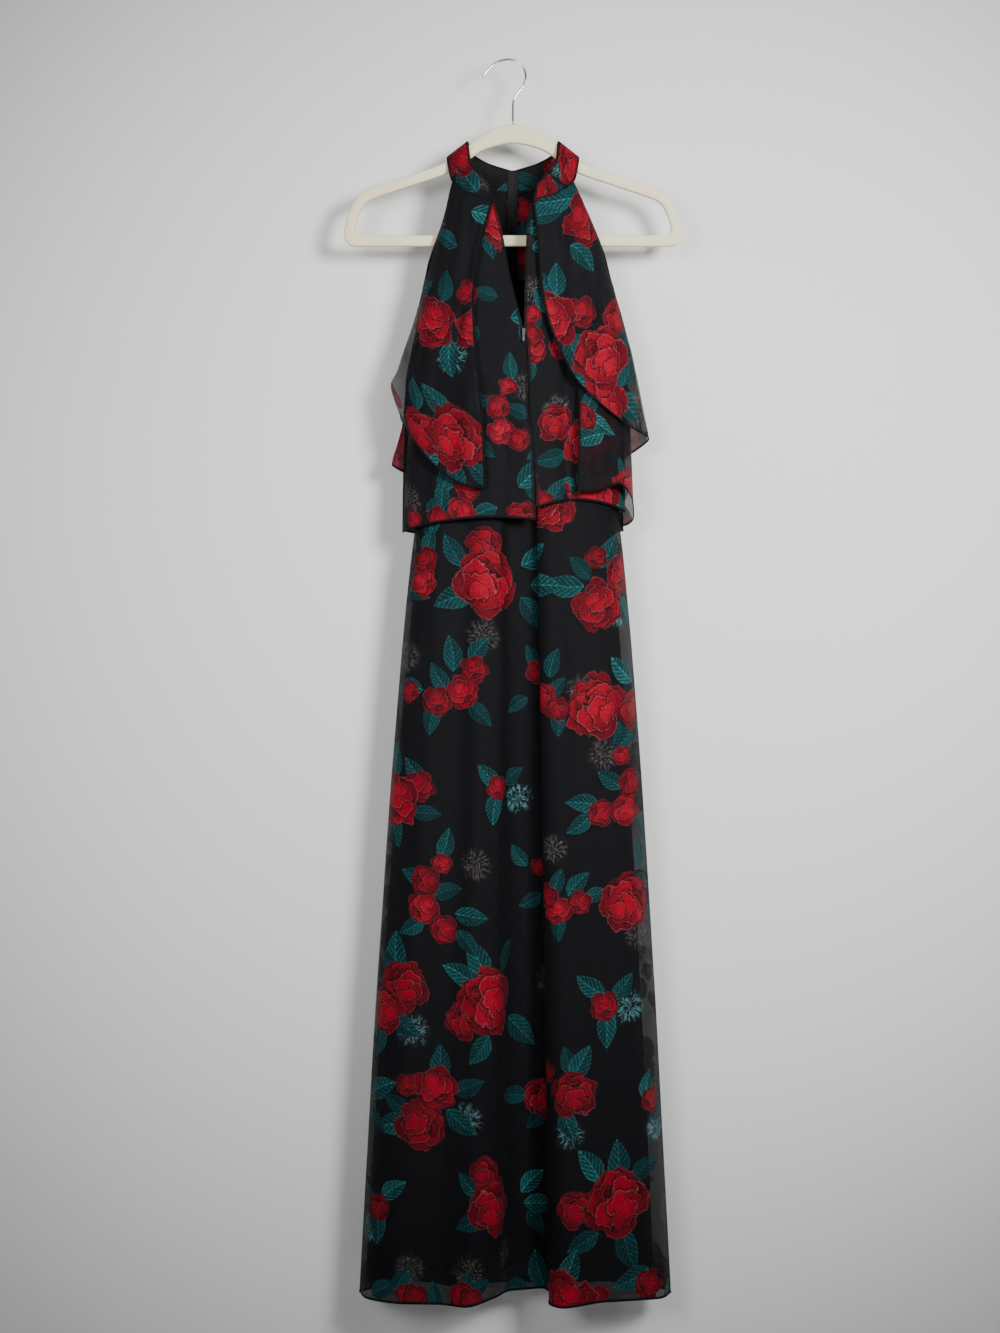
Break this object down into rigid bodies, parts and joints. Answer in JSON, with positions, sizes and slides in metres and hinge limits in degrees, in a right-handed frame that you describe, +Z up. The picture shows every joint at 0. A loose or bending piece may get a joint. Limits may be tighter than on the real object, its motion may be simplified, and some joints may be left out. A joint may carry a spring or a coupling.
{
  "type": "maxi dress on a hanger",
  "caption": "Sheer floral halter maxi dress with a cape overlay, keyhole neck and lined A-line skirt, on a slim flocked hanger with a wire hook.",
  "frame": {"origin": "inner top of the hanger's hook, where a rail or peg holds it", "axes": "+Z up, the dress's front faces -Y, +X to the viewer's right as the front is seen"},
  "size_m": [0.451, 0.1209, 1.6482],
  "materials": {
    "printed_chiffon": "sheer black chiffon printed with red roses and teal leaves",
    "black_lining": "plain black woven lining",
    "hanger_flock": "cream velvet flock on a moulded frame",
    "chrome_wire": "polished wire",
    "zip_tape_cloth": "black woven zip tape",
    "zip_metal": "dark nickel"
  },
  "bodies": {
    "dress": {"hanger": "hanger_flock", "hook": "chrome_wire", "collar_left": "printed_chiffon", "collar_right": "printed_chiffon", "bodice_front_left": "printed_chiffon", "bodice_front_right": "printed_chiffon", "bodice_back_left": "printed_chiffon", "bodice_back_right": "printed_chiffon", "cape_front_left": "printed_chiffon", "cape_front_right": "printed_chiffon", "cape_back_left": "printed_chiffon", "cape_back_right": "printed_chiffon", "cascade_right": "printed_chiffon", "skirt_front": "printed_chiffon", "skirt_back_left": "printed_chiffon", "skirt_back_right": "printed_chiffon", "lining_front": "black_lining", "lining_back": "black_lining", "zip_tape": "zip_tape_cloth", "front_zip_slider": "zip_metal", "back_zip_slider": "zip_metal"},
    "front_pull": {"front_zip_pull": "zip_metal"},
    "back_pull": {"back_zip_pull": "zip_metal"}
  },
  "joints": [
    {"name": "front_pull_swing", "type": "hinge", "parent": "dress", "child": "front_pull", "pos_m": [0.0176, -0.04947, -0.368], "axis": [-1, 0, 0], "range_deg": [0, 150]},
    {"name": "back_pull_swing", "type": "hinge", "parent": "dress", "child": "back_pull", "pos_m": [0.004, 0.0373, -0.154], "axis": [1, 0, 0], "range_deg": [0, 150]}
  ]
}
